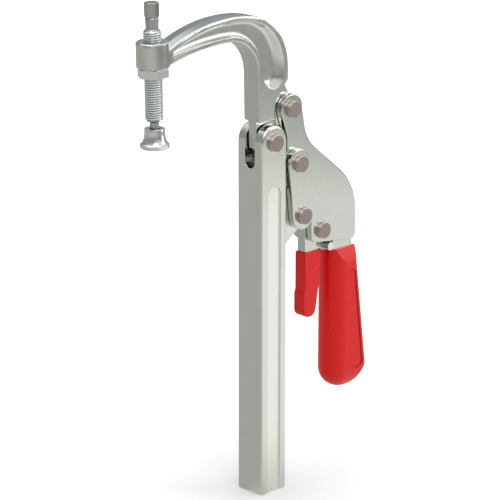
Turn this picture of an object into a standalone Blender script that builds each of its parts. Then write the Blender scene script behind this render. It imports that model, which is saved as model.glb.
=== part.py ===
"""Hold-down toggle clamp: a square bar carries a swan-neck arm with a threaded spindle,
a pair of toggle links, a two-plate handle with a red grip, and a red release lever.

Frame: metres, +Z up along the bar. The origin is the centre of the bar's lower end face.
The spindle reaches out towards -X, the handle hangs on the +X side, all pivots run along Y.
"Left" is the -Y side. Heights named DROP or RISE are measured from the arm pivot.
"""
from math import acos, asin, atan2, cos, hypot, pi, radians, sin, sqrt

import bmesh
import bpy
from mathutils import Matrix

MM = 0.001

# Fits shared by all pieces
GAP = 0.3 * MM              # between pieces that touch
BLADE_PLAY = 1.6 * MM       # arm blade to each cheek of the bar
PLATE_PLAY = 0.35 * MM      # arm blade to each handle plate
LINK_PLAY = 0.4 * MM        # handle plate or base lug to each link

# Square bar
BAR_WIDTH = 31 * MM
BAR_FILLET = 2 * MM
ARM_PIVOT_HEIGHT = 328 * MM
SLOT_RUNOUT = 10.3 * MM     # slot floor below the arm's eye
ARM_OPEN_ANGLE = 80.0       # degrees that the arm folds back, for the relief in the slot
OPEN_CLEARANCE = 1.0 * MM   # relief round the folded arm
RECESS_WIDTH = 16.4 * MM
RECESS_DEPTH = 1.9 * MM
RECESS_DROP = 39.5 * MM
RECESS_DRAFT = 0.9 * MM

# Lug behind the bar that carries the links
LUG_PIVOT_OUT = 18.5 * MM   # from the bar's rear face
LUG_PIVOT_DROP = 72.4 * MM
LUG_EYE_R = 13.4 * MM
LUG_TOP_RISE = 30 * MM      # root of the lug above its pivot
LUG_FOOT_DROP = 30 * MM     # root of the lug below its pivot
LUG_EDGE = 1.0 * MM

# Pivot pins and their bushes
PIN_DIAMETER = 14.5 * MM
PIN_PROUD = 4.2 * MM
PIN_CHAMFER = 0.2 * MM
BUSH_WALL = 2.0 * MM

# Swan-neck arm, in its own level frame with the arm pivot as origin
ARM_DROOP = 1.0             # degrees that the arm leans down when clamped
BLADE_THICKNESS = 9.5 * MM
BLADE_EDGE = 0.4 * MM
ARM_EYE_R = 12.7 * MM
ARM_LUG_OUT = 10.4 * MM     # handle pivot behind the bar's rear face
ARM_LUG_RISE = 25.1 * MM
ARM_LUG_R = 12.8 * MM
ARM_THICKNESS = 20 * MM
ARM_EDGE = 1.3 * MM
ARM_BACK_X = 23.5 * MM
ARM_BEND_R = 51.1 * MM
ARM_CROWN_REACH = 48 * MM
ARM_CROWN_RISE = 118.2 * MM
ARM_END_SLOPE = 26.1        # degrees that the arm's top slopes down at the boss
THROAT_BEND_R = 33.9 * MM
THROAT_CROWN_REACH = 56.5 * MM
ARM_CROWN_DEPTH = 21.5 * MM   # from the crown of the top to the crown of the underside
THROAT_END_SLOPE = 15.5     # degrees that the arm's underside slopes down at the boss
SHOULDER_GAP = 2.8 * MM     # thick part of the arm above the bar's round top
SHOULDER_CORNER_R = 3 * MM
EYE_RELIEF = 4.8 * MM       # thick part of the arm clear of the handle's eye
EYE_RELIEF_DRAFT = 3.0 * MM
BACK_RELIEF_RISE = 50 * MM  # where the thick part's back stops above the handle pivot
BACK_RELIEF_DEPTH = 4.2 * MM

# Forged pocket on both sides of the arm: rim on the face, floor below it
POCKET_DEPTH = 5 * MM
POCKET_TOP_RIM = 3.8 * MM
POCKET_BACK_RIM = 5.3 * MM
POCKET_THROAT_RIM = 4.2 * MM
POCKET_FRONT_RIM = 5.8 * MM
POCKET_RIM_BEND_R = 49 * MM
POCKET_RIM_THROAT_R = 40 * MM
POCKET_TOP_DRAFT = 2.0 * MM
POCKET_BACK_DRAFT = 9.6 * MM
POCKET_INNER_DRAFT = 1.5 * MM
POCKET_FLOOR_BEND_R = 40.5 * MM
POCKET_FOOT_RISE = 59 * MM

# Boss, spindle, jam nut and swivel foot
SPINDLE_REACH = 126.5 * MM
SPINDLE_DIAMETER = 16 * MM
BOSS_DIAMETER = 28.4 * MM
BOSS_TOP_DROP = 8.2 * MM    # boss's top face below the crown of the arm
BOSS_HEIGHT = 22.4 * MM
BOSS_EDGE = 1.0 * MM
NUT_FLATS = 24 * MM
NUT_HEIGHT = 7.5 * MM
THREAD_BELOW = 43.9 * MM    # full thread below the boss
THREAD_ABOVE = 8.2 * MM     # full thread above the boss
THREAD_CHAMFER = 2.3 * MM
SPINDLE_NECK_DIAMETER = 10.5 * MM
SPINDLE_NECK_LENGTH = 8.7 * MM
GROOVE_DEPTH = 0.6 * MM
GROOVE_WIDTH = 0.9 * MM
COLLAR_DIAMETER = 11.9 * MM
COLLAR_LENGTH = 1.7 * MM
DRIVE_FLATS = 12 * MM
DRIVE_LENGTH = 11.5 * MM
DRIVE_EDGE = 0.4 * MM
BALL_DIAMETER = 11 * MM
BALL_NECK_DIAMETER = 8 * MM
BALL_DROP = 10.9 * MM       # ball centre below the end of the thread's chamfer
FOOT_RIM_DIAMETER = 17.7 * MM
FOOT_DIAMETER = 25.4 * MM
FOOT_HEIGHT = 17.2 * MM
FOOT_LIP = 2.6 * MM
FOOT_CHAMFER = 1.0 * MM
FOOT_RIM_RISE = 5.0 * MM    # rim above the ball's centre
FOOT_MOUTH_R = 4.8 * MM
FOOT_MOUTH_FLARE = 0.5 * MM

# Handle: two plates joined by the pins
PLATE_THICKNESS = 6.5 * MM
PLATE_EDGE = 0.7 * MM
HANDLE_EYE_R = 13.2 * MM
EYE_SPACING = 49.2 * MM     # handle pivot to link pivot
OVER_CENTRE = 0.8 * MM
PLATE_BAR_GAP = 3.95 * MM
LINK_EYE_BAR_GAP = 1.3 * MM
HIDDEN_EDGE_GAP = 2.6 * MM  # plate's hidden front edge behind the lug's eye
LEVER_PIVOT_OUT = 30.6 * MM   # from the lug pivot
LEVER_PIVOT_BELOW = 20.9 * MM
HANDLE_BACK = 44 * MM         # straight back edge behind the lever pivot
HANDLE_HEEL = 17.2 * MM       # lower back corner below the lever pivot
HANDLE_TOE = 9.6 * MM         # lower front corner below the lever pivot
HANDLE_FRONT = 13.6 * MM      # lower front edge ahead of the lever pivot
HANDLE_HIP = 35.4 * MM        # corner of the back curve above the lever pivot
HANDLE_HIP_R = 70 * MM
HANDLE_WAIST_OUT = 18.2 * MM  # corner of the hollow curve, from the handle pivot
HANDLE_WAIST_DROP = 30.5 * MM
HANDLE_WAIST_R = 47 * MM
HEEL_R = 6 * MM
TOE_R = 7 * MM
BROW_R = 14 * MM              # hollow under the handle eye
KNEE_TOP_R = 6 * MM
KNEE_FOOT_R = 8 * MM
CHIN_R = 12 * MM              # hidden corner behind the lug's eye

# Neck and tang of each handle plate
NECK_STEP = 2 * MM          # outer face of the neck behind the plate's face
NECK_INNER_STEP = 1 * MM    # inner face of the neck outside the plate's inner face
NECK_FRONT = 16.4 * MM      # neck's front edge behind the lever pivot
NECK_REAR_INSET = 3.0 * MM  # neck's rear edge ahead of the plate's back edge
NECK_LENGTH = 23.2 * MM     # lever pivot down to the grip's top
TANG_FRONT_INSET = 3.2 * MM  # tang's front edge behind the neck's
TANG_LENGTH = 80 * MM
TANG_CORNER_R = 3 * MM

# Toggle links
LINK_THICKNESS = 6 * MM
LINK_BAR_GAP = 0.7 * MM
LINK_EDGE = 0.5 * MM

# Release lever and its sleeve
LEVER_THICKNESS = 9.5 * MM
LEVER_EDGE = 0.4 * MM
LEVER_FRONT = 15.1 * MM
LEVER_REAR = 5.0 * MM
LEVER_HEAD_R = 11.5 * MM
LEVER_BLADE_INSET = 2.4 * MM
LEVER_SHOULDER_DROP = 19.8 * MM
LEVER_LENGTH = 66 * MM
SLEEVE_THICKNESS = 13 * MM
SLEEVE_FRONT = 16.3 * MM
SLEEVE_REAR = 4.6 * MM
SLEEVE_DROP = 82 * MM       # lower end below the lever pivot
SLEEVE_WAIST_INSET = 2.6 * MM   # back of the sleeve, ahead of its top corner
SLEEVE_TIP_INSET = 7.5 * MM
SLEEVE_BUMP = 1.4 * MM
SLEEVE_BUMP_R = 3.5 * MM
SLEEVE_TIP_R = 7.5 * MM
SLEEVE_BACK_R = 30 * MM
SLEEVE_EDGE = 0.8 * MM
STOP_PIN_DIAMETER = 7.6 * MM
STOP_PIN_PROUD = 0.8 * MM
STOP_PIN_OUT = 10.9 * MM
STOP_PIN_DROP = 17.8 * MM
STOP_EAR_WALL = 1.2 * MM    # ear of the lever round the stop pin

# Grip
GRIP_THICKNESS = 30 * MM
GRIP_FRONT = 14.4 * MM      # front face behind the lever pivot
GRIP_TOP_DEPTH = 29.6 * MM  # front to rear at the top
GRIP_END_DEPTH = 44.4 * MM  # front to rear at the widest level
GRIP_LENGTH = 141 * MM
GRIP_END_R = 17 * MM
GRIP_REAR_R = 5.5 * MM
FACET_TOP_HALF = 11 * MM
FACET_LENGTH = 13 * MM
PANEL_WIDTH = 14 * MM
PANEL_TOP = 20.5 * MM
PANEL_BOTTOM = 22 * MM
PANEL_DEPTH = 1.0 * MM
PANEL_REAR_INSET = 11.2 * MM

# Colours (linear RGB), metallic, roughness
ZINC = ((0.56, 0.58, 0.54), 1.0, 0.28)
SPINDLE_ZINC = ((0.60, 0.64, 0.66), 1.0, 0.30)
PIN_STEEL = ((0.42, 0.30, 0.26), 1.0, 0.38)
BUSH_STEEL = ((0.30, 0.29, 0.28), 1.0, 0.35)
RED_GRIP = ((0.60, 0.02, 0.025), 0.0, 0.38)

# Values that follow from the sizes above
BAR_HALF = BAR_WIDTH / 2
PLATE_INNER = BLADE_THICKNESS / 2 + PLATE_PLAY
PLATE_OUTER = PLATE_INNER + PLATE_THICKNESS
LINK_INNER = PLATE_OUTER + LINK_PLAY
LINK_OUTER = LINK_INNER + LINK_THICKNESS
NECK_INNER = PLATE_INNER + NECK_INNER_STEP
NECK_OUTER = PLATE_OUTER - NECK_STEP
PIN_R = PIN_DIAMETER / 2
HOLE_R = PIN_R + GAP
BUSH_R = HOLE_R + BUSH_WALL
BUSH_HOLE_R = BUSH_R + GAP
BALL_R = BALL_DIAMETER / 2
SPINDLE_R = SPINDLE_DIAMETER / 2


def droop_to_world(x, z):
    """A point of the arm's level frame, as a rise and a reach from the arm pivot."""
    turn = radians(ARM_DROOP)
    return x * cos(turn) - z * sin(turn), z * cos(turn) + x * sin(turn)


ARM_LUG = (BAR_HALF + ARM_LUG_OUT, ARM_LUG_RISE)
HANDLE_PIVOT = droop_to_world(*ARM_LUG)
LUG_PIVOT = (BAR_HALF + LUG_PIVOT_OUT, -LUG_PIVOT_DROP)


def link_pivot():
    """The knee of the toggle, just past the line from the handle pivot to the lug pivot."""
    dx, dz = LUG_PIVOT[0] - HANDLE_PIVOT[0], LUG_PIVOT[1] - HANDLE_PIVOT[1]
    length = hypot(dx, dz)
    ux, uz = dx / length, dz / length
    return (HANDLE_PIVOT[0] + ux * EYE_SPACING + uz * OVER_CENTRE,
            HANDLE_PIVOT[1] + uz * EYE_SPACING - ux * OVER_CENTRE)


KNEE = link_pivot()
LEVER_PIVOT = (LUG_PIVOT[0] + LEVER_PIVOT_OUT, LUG_PIVOT[1] - LEVER_PIVOT_BELOW)
STOP_PIN = (LEVER_PIVOT[0] + STOP_PIN_OUT, LEVER_PIVOT[1] - STOP_PIN_DROP)
LINK_HALF_WIDTH = KNEE[0] - BAR_HALF - LINK_BAR_GAP
PLATE_BACK_X = LEVER_PIVOT[0] + HANDLE_BACK
GRIP_TOP_Z = LEVER_PIVOT[1] - NECK_LENGTH
GRIP_FRONT_X = LEVER_PIVOT[0] + GRIP_FRONT
NECK_FRONT_X = LEVER_PIVOT[0] + NECK_FRONT
TANG_FRONT_X = NECK_FRONT_X + TANG_FRONT_INSET
TANG_REAR_X = PLATE_BACK_X - NECK_REAR_INSET
ARM_END_X = -SPINDLE_REACH + sqrt((BOSS_DIAMETER / 2) ** 2 - (ARM_THICKNESS / 2) ** 2) - GAP
ARM_TOP_R = (-ARM_END_X - ARM_CROWN_REACH) / sin(radians(ARM_END_SLOPE))
THROAT_TOP_R = (-ARM_END_X - THROAT_CROWN_REACH) / sin(radians(THROAT_END_SLOPE))
THROAT_CROWN_RISE = ARM_CROWN_RISE - ARM_CROWN_DEPTH
BOSS_TOP_RISE = ARM_CROWN_RISE - BOSS_TOP_DROP
BOSS_BOTTOM = BOSS_TOP_RISE - BOSS_HEIGHT
THREAD_BOTTOM = BOSS_BOTTOM - THREAD_BELOW
SPINDLE_END = THREAD_BOTTOM - THREAD_CHAMFER
BALL_Z = SPINDLE_END - BALL_DROP


# Scene set-up

def clear_scene():
    for obj in list(bpy.data.objects):
        bpy.data.objects.remove(obj, do_unlink=True)


def new_collection(name):
    collection = bpy.data.collections.new(name)
    bpy.context.scene.collection.children.link(collection)
    return collection


clear_scene()
PARTS = new_collection("hold_down_clamp")
TOOLS = new_collection("cutters")


def material(name, finish):
    colour, metallic, roughness = finish
    made = bpy.data.materials.new(name)
    made.use_nodes = True
    shader = made.node_tree.nodes["Principled BSDF"]
    shader.inputs["Base Color"].default_value = (*colour, 1)
    shader.inputs["Metallic"].default_value = metallic
    shader.inputs["Roughness"].default_value = roughness
    return made


ZINC_PLATE = material("zinc_plated_steel", ZINC)
ZINC_THREAD = material("zinc_plated_spindle", SPINDLE_ZINC)
COPPER_PIN = material("coppery_pin_steel", PIN_STEEL)
BUSH = material("hardened_bush", BUSH_STEEL)
RED = material("red_plastic", RED_GRIP)


# Outlines: lists of (x, z) points

def arc(centre, radius, start, end, steps):
    """Points on a circle from one angle to another, in radians, both ends included."""
    turn = (end - start) / steps
    return [(centre[0] + radius * cos(start + turn * i), centre[1] + radius * sin(start + turn * i))
            for i in range(steps + 1)]


def rounded(corners, steps=5):
    """A polygon of (x, z, radius) corners, each one rounded by an arc of that radius."""
    points = []
    for i, (x, z, radius) in enumerate(corners):
        before, after = corners[i - 1], corners[(i + 1) % len(corners)]
        if radius <= 0:
            points.append((x, z))
            continue
        ax, az = before[0] - x, before[1] - z
        bx, bz = after[0] - x, after[1] - z
        a_len, b_len = hypot(ax, az), hypot(bx, bz)
        ax, az, bx, bz = ax / a_len, az / a_len, bx / b_len, bz / b_len
        half = acos(max(-1, min(1, ax * bx + az * bz))) / 2
        reach = min(radius / (sin(half) / cos(half)), a_len * 0.49, b_len * 0.49)
        radius = reach * sin(half) / cos(half)
        middle = hypot(ax + bx, az + bz)
        centre = (x + (ax + bx) / middle * radius / sin(half),
                  z + (az + bz) / middle * radius / sin(half))
        start = atan2(z + az * reach - centre[1], x + ax * reach - centre[0])
        end = atan2(z + bz * reach - centre[1], x + bx * reach - centre[0])
        while end - start > pi:
            end -= 2 * pi
        while end - start < -pi:
            end += 2 * pi
        points += arc(centre, radius, start, end, steps)
    return points


def hull(circles, steps=8):
    """The tight belt round (x, z, radius) circles that are listed anticlockwise."""
    points = []
    leave = []
    for i, (x, z, radius) in enumerate(circles):
        nx, nz, n_radius = circles[(i + 1) % len(circles)]
        span = hypot(nx - x, nz - z)
        leave.append(atan2(nz - z, nx - x) - pi / 2 + asin((n_radius - radius) / span))
    for i, (x, z, radius) in enumerate(circles):
        start, end = leave[i - 1], leave[i]
        while end < start:
            end += 2 * pi
        points += arc((x, z), radius, start, end, steps)
    return points


def neck(line_x, bend_r, centre, top_r, end_x, steps=(10, 10)):
    """A bend off a vertical line, then a flat arc about the given centre, out to end_x."""
    dx = line_x - bend_r - centre[0]
    dz = sqrt((top_r - bend_r) ** 2 - dx ** 2)
    meet = atan2(dz, dx)
    bend = arc((line_x - bend_r, centre[1] + dz), bend_r, 0, meet, steps[0])
    top = arc(centre, top_r, meet, acos((end_x - centre[0]) / top_r), steps[1])
    return bend + top[1:]


# Solids

def finish(mesh_object, surface, smooth_angle=32):
    mesh_object.data.materials.clear()
    mesh_object.data.materials.append(surface)
    mesh_object.data.shade_smooth()
    mesh_object.data.set_sharp_from_angle(angle=radians(smooth_angle))
    return mesh_object


def link_object(name, data, collection):
    made = bpy.data.objects.new(name, data)
    collection.objects.link(made)
    if collection is TOOLS:
        made.hide_render = True
        made.display_type = "WIRE"
    return made


def outline_solid(name, points, low, high, collection=PARTS, across="Y"):
    """A flat outline given thickness from low to high along Y, or along X for a (y, z) outline."""
    curve = bpy.data.curves.new(name + "_outline", "CURVE")
    curve.dimensions = "2D"
    curve.fill_mode = "BOTH"
    curve.extrude = (high - low) / 2
    spline = curve.splines.new("POLY")
    spline.points.add(len(points) - 1)
    for point, (x, z) in zip(spline.points, points):
        point.co = (x, z, 0, 1)
    spline.use_cyclic_u = True
    flat = link_object(name + "_outline", curve, collection)
    middle = (high + low) / 2
    if across == "Y":
        flat.matrix_world = Matrix.Translation((0, middle, 0)) @ Matrix.Rotation(pi / 2, 4, "X")
    else:
        flat.matrix_world = (Matrix.Translation((middle, 0, 0)) @ Matrix.Rotation(pi / 2, 4, "Z")
                             @ Matrix.Rotation(pi / 2, 4, "X"))
    bpy.context.view_layer.update()
    graph = bpy.context.evaluated_depsgraph_get()
    mesh = bpy.data.meshes.new_from_object(flat.evaluated_get(graph))
    mesh.name = name
    placed = flat.matrix_world.copy()
    bpy.data.objects.remove(flat, do_unlink=True)
    bm = bmesh.new()
    bm.from_mesh(mesh)
    bmesh.ops.remove_doubles(bm, verts=bm.verts, dist=1e-6)
    bmesh.ops.dissolve_limit(bm, angle_limit=radians(0.5), verts=bm.verts, edges=bm.edges)
    bmesh.ops.transform(bm, matrix=placed, verts=bm.verts)
    bmesh.ops.recalc_face_normals(bm, faces=bm.faces)
    bm.to_mesh(mesh)
    bm.free()
    return link_object(name, mesh, collection)


def lofted(name, sections, collection=PARTS):
    """A closed solid through rings of (x, y, z) points that have as many points each."""
    bm = bmesh.new()
    rings = [[bm.verts.new(point) for point in section] for section in sections]
    for ring, following in zip(rings, rings[1:]):
        for i in range(len(ring)):
            bm.faces.new((ring[i - 1], ring[i], following[i], following[i - 1]))
    bm.faces.new(rings[0])
    bm.faces.new(rings[-1])
    bmesh.ops.recalc_face_normals(bm, faces=bm.faces)
    mesh = bpy.data.meshes.new(name)
    bm.to_mesh(mesh)
    bm.free()
    return link_object(name, mesh, collection)


def turned(name, profile, steps, collection=PARTS, along="Z", place=(0, 0, 0)):
    """A profile of (radius, height) points from the top down its outer side, turned about Z or Y."""
    mesh = bpy.data.meshes.new(name)
    points = [(radius, 0, height) for radius, height in profile]
    mesh.from_pydata(points, [(i, i + 1) for i in range(len(points) - 1)], [])
    made = link_object(name, mesh, collection)
    screw = made.modifiers.new("turn", "SCREW")
    screw.axis = "Z"
    screw.steps = screw.render_steps = steps
    screw.use_merge_vertices = True
    screw.merge_threshold = 1e-5
    made.location = place
    if along == "Y":
        made.rotation_euler = (pi / 2, 0, 0)
    return made


def rod_profile(radius, half_length, chamfer):
    return [(0, half_length), (radius - chamfer, half_length), (radius, half_length - chamfer),
            (radius, chamfer - half_length), (radius - chamfer, -half_length), (0, -half_length)]


def cylinder(name, centre, radius, low, high, segments=32, collection=TOOLS, flare=0.0):
    """A cylinder along Y about an (x, z) centre, widened by flare at its far end."""
    bm = bmesh.new()
    bmesh.ops.create_cone(bm, cap_ends=True, segments=segments, radius1=radius,
                          radius2=radius + flare, depth=high - low)
    turn = Matrix.Rotation(-pi / 2, 4, "X")
    move = Matrix.Translation((centre[0], (high + low) / 2, centre[1]))
    bmesh.ops.transform(bm, matrix=move @ turn, verts=bm.verts)
    mesh = bpy.data.meshes.new(name)
    bm.to_mesh(mesh)
    bm.free()
    return link_object(name, mesh, collection)


def box(name, low, high, collection=TOOLS):
    bm = bmesh.new()
    bmesh.ops.create_cube(bm, size=1)
    size = [b - a for a, b in zip(low, high)]
    middle = [(a + b) / 2 for a, b in zip(low, high)]
    bmesh.ops.transform(bm, matrix=Matrix.Translation(middle) @ Matrix.Diagonal((*size, 1)),
                        verts=bm.verts)
    mesh = bpy.data.meshes.new(name)
    bm.to_mesh(mesh)
    bm.free()
    return link_object(name, mesh, collection)


def bevel(obj, width, segments=2, angle=35):
    step = obj.modifiers.new("edges", "BEVEL")
    step.width = width
    step.segments = segments
    step.limit_method = "ANGLE"
    step.angle_limit = radians(angle)
    step.harden_normals = False
    return obj


def combine(obj, operation, *tools):
    for tool in tools:
        step = obj.modifiers.new(operation.lower() + "_" + tool.name, "BOOLEAN")
        step.operation = operation
        step.solver = "EXACT"
        step.object = tool
    return obj


def empty(name, place, parent=None, tilt=0.0):
    """A joint's frame: an empty on the joint's axis, tilted about Y by some degrees."""
    made = bpy.data.objects.new(name, None)
    PARTS.objects.link(made)
    made.empty_display_size = 0.02
    made.parent = parent
    made.location = place
    made.rotation_euler = (0, radians(tilt), 0)
    return made


# Joint frames. Pieces are modelled about the arm pivot, and each hangs from its joint's frame.

BASE = empty("base_frame", (0, 0, ARM_PIVOT_HEIGHT))
ARM = empty("arm_joint", (0, 0, 0), BASE, -ARM_DROOP)
HANDLE = empty("handle_joint", (HANDLE_PIVOT[0], 0, HANDLE_PIVOT[1]), BASE)
LINKS = empty("link_joint", (LUG_PIVOT[0], 0, LUG_PIVOT[1]), BASE)
LEVER = empty("lever_joint", (LEVER_PIVOT[0], 0, LEVER_PIVOT[1]), BASE)
SPINDLE = empty("spindle_slide", (-SPINDLE_REACH, 0, 0), ARM)
FOOT = empty("foot_joint", (0, 0, BALL_Z), SPINDLE, ARM_DROOP)
FRAME_OF = {"base": BASE, "arm": ARM, "handle": HANDLE, "links": LINKS, "lever": LEVER,
            "spindle": SPINDLE, "foot": FOOT}
OFFSET_OF = {"handle": HANDLE_PIVOT, "links": LUG_PIVOT, "lever": LEVER_PIVOT}


def hang(obj, frame, surface, smooth_angle=32):
    """Puts a piece and its tools under a joint's frame, without moving them."""
    dx, dz = OFFSET_OF.get(frame, (0, 0))
    pieces = [obj] + [step.object for step in obj.modifiers if step.type == "BOOLEAN"]
    for piece in pieces:
        if piece.parent is None:
            piece.parent = FRAME_OF[frame]
            piece.location = (piece.location[0] - dx, piece.location[1], piece.location[2] - dz)
    finish(obj, surface, smooth_angle)
    return obj


# Pieces of the base

def base_bar():
    side = [(-BAR_HALF, -ARM_PIVOT_HEIGHT), (BAR_HALF, -ARM_PIVOT_HEIGHT)]
    side += arc((0, 0), BAR_HALF, 0, pi, 20)
    bar = bevel(outline_solid("base_bar", side, -BAR_HALF, BAR_HALF), BAR_FILLET, 3)
    root_x = BAR_HALF * 0.6
    lug_side = hull([(root_x, LUG_PIVOT[1] - LUG_FOOT_DROP, LUG_EDGE), (*LUG_PIVOT, LUG_EYE_R),
                     (root_x, LUG_PIVOT[1] + LUG_TOP_RISE, LUG_EDGE)])
    lug = bevel(outline_solid("lug", lug_side, -PLATE_OUTER, PLATE_OUTER, TOOLS), LUG_EDGE)
    combine(bar, "UNION", lug)
    half_slot = BLADE_THICKNESS / 2 + BLADE_PLAY
    floor = -ARM_EYE_R - SLOT_RUNOUT + half_slot
    slot_end = [(half_slot, BAR_HALF * 1.5), (-half_slot, BAR_HALF * 1.5)]
    slot_end += arc((0, floor), half_slot, pi, 2 * pi, 12)
    slot = outline_solid("slot", slot_end, -BAR_WIDTH, BAR_HALF * 1.2, TOOLS, across="X")
    combine(bar, "DIFFERENCE", slot, open_relief(), *[recess(side) for side in (-1, 1)])
    combine(bar, "DIFFERENCE",
            cylinder("arm_pivot_hole", (0, 0), HOLE_R, -BAR_WIDTH, BAR_WIDTH),
            cylinder("lug_hole", LUG_PIVOT, BUSH_HOLE_R, -BAR_WIDTH, BAR_WIDTH))
    return hang(bar, "base", ZINC_PLATE)


def open_relief():
    """The deeper end of the slot, which the arm's blade needs when it is folded right back."""
    turn = radians(ARM_OPEN_ANGLE)
    x, z = HANDLE_PIVOT
    lug = (x * cos(turn) + z * sin(turn), z * cos(turn) - x * sin(turn))
    swept = hull([(0, 0, ARM_EYE_R + OPEN_CLEARANCE), (*lug, ARM_LUG_R + OPEN_CLEARANCE)], 10)
    half = BLADE_THICKNESS / 2 + BLADE_PLAY / 2
    return outline_solid("open_relief", swept, -half, half, TOOLS)


def recess(side):
    """The long recess in one side of the bar, with drafted walls and a round top."""
    levels = ((BAR_HALF - RECESS_DEPTH, RECESS_WIDTH / 2 - RECESS_DRAFT),
              (BAR_HALF, RECESS_WIDTH / 2), (BAR_HALF + RECESS_DEPTH, RECESS_WIDTH / 2))
    top = -RECESS_DROP - RECESS_WIDTH / 2
    below = -ARM_PIVOT_HEIGHT - RECESS_WIDTH
    rings = []
    for y, half in levels:
        ring = [(half, below)] + arc((0, top), half, 0, pi, 12) + [(-half, below)]
        rings.append([(x, side * y, z) for x, z in ring])
    return lofted(f"recess_{side}", rings, TOOLS)


def pin(name, centre, radius, half_length, frame, low=None):
    """A plain round pin with chamfered ends, across the clamp or from low to half_length."""
    if low is None:
        low = -half_length
    middle = (low + half_length) / 2
    half = abs(half_length - low) / 2
    made = turned(name, rod_profile(radius, half, PIN_CHAMFER), 32, along="Y",
                  place=(centre[0], middle, centre[1]))
    return hang(made, frame, COPPER_PIN)


def bush(name, centre, half_length, frame):
    """A plain bush on a pin: a ring profile that is closed on itself."""
    profile = [(HOLE_R, half_length), (BUSH_R, half_length), (BUSH_R, -half_length),
               (HOLE_R, -half_length), (HOLE_R, half_length)]
    made = turned(name, profile, 32, along="Y", place=(centre[0], 0, centre[1]))
    return hang(made, frame, BUSH)


# Pieces of the arm, in the arm's own level frame

def arm_centres():
    """Centres of the two flat arcs: along the top of the arm and along its underside."""
    top = (-ARM_CROWN_REACH, ARM_CROWN_RISE - ARM_TOP_R)
    under = (-THROAT_CROWN_REACH, THROAT_CROWN_RISE - THROAT_TOP_R)
    return top, under


def arm_outline():
    top, under = arm_centres()
    shoulder = BAR_HALF + SHOULDER_GAP
    outer = neck(ARM_BACK_X, ARM_BEND_R, top, ARM_TOP_R, ARM_END_X)
    inner = neck(-ARM_EYE_R, THROAT_BEND_R, under, THROAT_TOP_R, ARM_END_X)
    corner = arc((SHOULDER_CORNER_R - ARM_EYE_R, shoulder + SHOULDER_CORNER_R),
                 SHOULDER_CORNER_R, pi, 1.5 * pi, 4)
    relief = BACK_RELIEF_RISE
    back = [(ARM_BACK_X - BACK_RELIEF_DEPTH, shoulder),
            (ARM_BACK_X - BACK_RELIEF_DEPTH, relief - BACK_RELIEF_DEPTH / 2),
            (ARM_BACK_X, relief + BACK_RELIEF_DEPTH / 2)]
    return outer + inner[::-1] + corner + back


def pocket_ring(y, rim, draft):
    """One level of the arm's pocket: the rim on the face, or the floor drawn in by the draft."""
    top, under = arm_centres()
    top_rim, back_rim, throat_rim, front_rim = rim
    bend_r = POCKET_FLOOR_BEND_R if draft else POCKET_RIM_BEND_R
    throat_r = POCKET_RIM_THROAT_R + draft * POCKET_INNER_DRAFT
    end_x = -SPINDLE_REACH + BOSS_DIAMETER / 2 + draft * POCKET_INNER_DRAFT
    back_x = ARM_BACK_X - back_rim
    front_x = -ARM_EYE_R + front_rim
    outer = neck(back_x, bend_r, top, ARM_TOP_R - top_rim, end_x, (10, 6))
    inner = neck(front_x, throat_r, under, THROAT_TOP_R + throat_rim, end_x, (8, 6))
    foot = arc(((front_x + back_x) / 2, POCKET_FOOT_RISE), (back_x - front_x) / 2, pi, 2 * pi, 10)
    return [(x, y, z) for x, z in outer + inner[::-1] + foot]


def arm_pocket(side):
    face = ARM_THICKNESS / 2
    rim = (POCKET_TOP_RIM, POCKET_BACK_RIM, POCKET_THROAT_RIM, POCKET_FRONT_RIM)
    floor = (POCKET_TOP_RIM + POCKET_TOP_DRAFT, POCKET_BACK_RIM + POCKET_BACK_DRAFT,
             POCKET_THROAT_RIM + POCKET_INNER_DRAFT, POCKET_FRONT_RIM + POCKET_INNER_DRAFT)
    rings = [pocket_ring(side * (face - POCKET_DEPTH), floor, 1),
             pocket_ring(side * face, rim, 0),
             pocket_ring(side * (face + POCKET_DEPTH), rim, 0)]
    return lofted(f"arm_pocket_{side}", rings, TOOLS)


def eye_relief(side):
    """The drafted spot face that keeps the thick part of the arm clear of a handle plate."""
    inner = BLADE_THICKNESS / 2
    radius = HANDLE_EYE_R + EYE_RELIEF
    reach = ARM_THICKNESS / 2 - inner
    tool = cylinder(f"eye_relief_{side}", ARM_LUG, radius, inner, inner + 2 * reach, 40,
                    flare=2 * EYE_RELIEF_DRAFT)
    if side < 0:
        tool.data.transform(Matrix.Rotation(pi, 4, "Z"))
        tool.data.transform(Matrix.Translation((2 * ARM_LUG[0], 0, 0)))
    return tool


def arm():
    half = ARM_THICKNESS / 2
    body = bevel(outline_solid("arm", arm_outline(), -half, half), ARM_EDGE, 3)
    blade_side = hull([(0, 0, ARM_EYE_R), (*ARM_LUG, ARM_LUG_R),
                       (ARM_BACK_X - BACK_RELIEF_DEPTH / 2, BACK_RELIEF_RISE, BLADE_EDGE),
                       (ARM_EDGE - ARM_EYE_R, BACK_RELIEF_RISE, ARM_EDGE)], 10)
    inner = BLADE_THICKNESS / 2
    blade = bevel(outline_solid("blade", blade_side, -inner, inner, TOOLS), BLADE_EDGE)
    boss = turned("boss", boss_profile(), 48, TOOLS, place=(-SPINDLE_REACH, 0, 0))
    combine(body, "DIFFERENCE", *[eye_relief(side) for side in (-1, 1)])
    combine(body, "UNION", blade, boss)
    combine(body, "DIFFERENCE", *[arm_pocket(side) for side in (-1, 1)])
    combine(body, "DIFFERENCE",
            cylinder("arm_eye_hole", (0, 0), BUSH_HOLE_R, -half, half),
            cylinder("arm_lug_hole", ARM_LUG, BUSH_HOLE_R, -half, half))
    return hang(body, "arm", ZINC_PLATE)


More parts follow.
